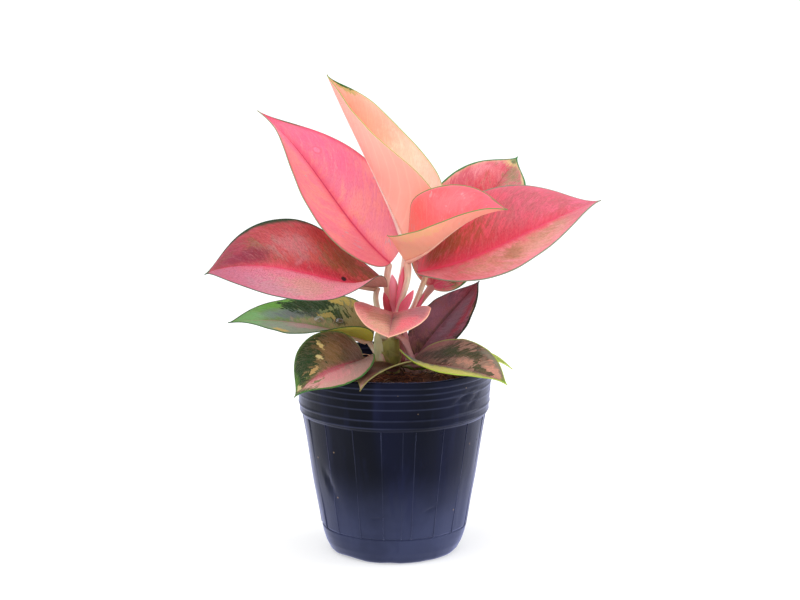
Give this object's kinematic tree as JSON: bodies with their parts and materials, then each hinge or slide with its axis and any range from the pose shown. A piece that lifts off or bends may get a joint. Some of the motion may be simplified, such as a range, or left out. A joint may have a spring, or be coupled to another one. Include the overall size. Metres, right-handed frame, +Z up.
{
  "type": "potted chinese evergreen",
  "caption": "Bushy foliage plant with broad pointed pink, crimson and green leaves on slender stalks, in a tapered black nursery pot filled with potting mix.",
  "frame": {"origin": "centre of the pot's flat underside", "axes": "+Z up along the pot's axis, +Y away from the pictured front, +X to the right in the picture"},
  "size_m": [0.2978, 0.179, 0.3617],
  "materials": {
    "pot_plastic": "thin semi-gloss moulded plastic with a broad sheen",
    "soil": "dark damp potting mix with coir chips",
    "stem_green": "smooth olive cane with clasping sheaths",
    "leaf_pink": "waxy leaf, bright pink with a rose midrib",
    "leaf_coral": "waxy young leaf, coral inside and peach outside",
    "leaf_peach": "waxy young leaf, translucent peach",
    "leaf_crimson": "waxy leaf, crimson and salmon with a grey-green margin",
    "leaf_maroon": "waxy leaf, maroon above and mauve below the midrib",
    "leaf_purple": "waxy leaf, dark purple with a black-green margin",
    "leaf_green": "waxy leaf, green with a grey sheen and yellow flecks",
    "leaf_green_pink": "waxy leaf, dark green and olive with a pink half",
    "leaf_olive": "waxy leaf, olive-brown mottled with pink",
    "leaf_yellow_green": "waxy leaf, yellow-green"
  },
  "bodies": {
    "root": {"pot": "pot_plastic", "potting_soil": "soil", "stem": "stem_green", "leaf_upright_left": "leaf_pink", "leaf_front_small": "leaf_pink", "leaf_cupped_right": "leaf_coral", "leaf_tall_back": "leaf_peach", "leaf_big_right": "leaf_crimson", "leaf_back_right": "leaf_crimson", "leaf_wing_left": "leaf_maroon", "leaf_dark_right": "leaf_purple", "leaf_low_front": "leaf_purple", "leaf_green_left": "leaf_green", "leaf_low_left": "leaf_green_pink", "leaf_low_right": "leaf_olive", "leaf_low_back": "leaf_yellow_green"}
  },
  "joints": []
}
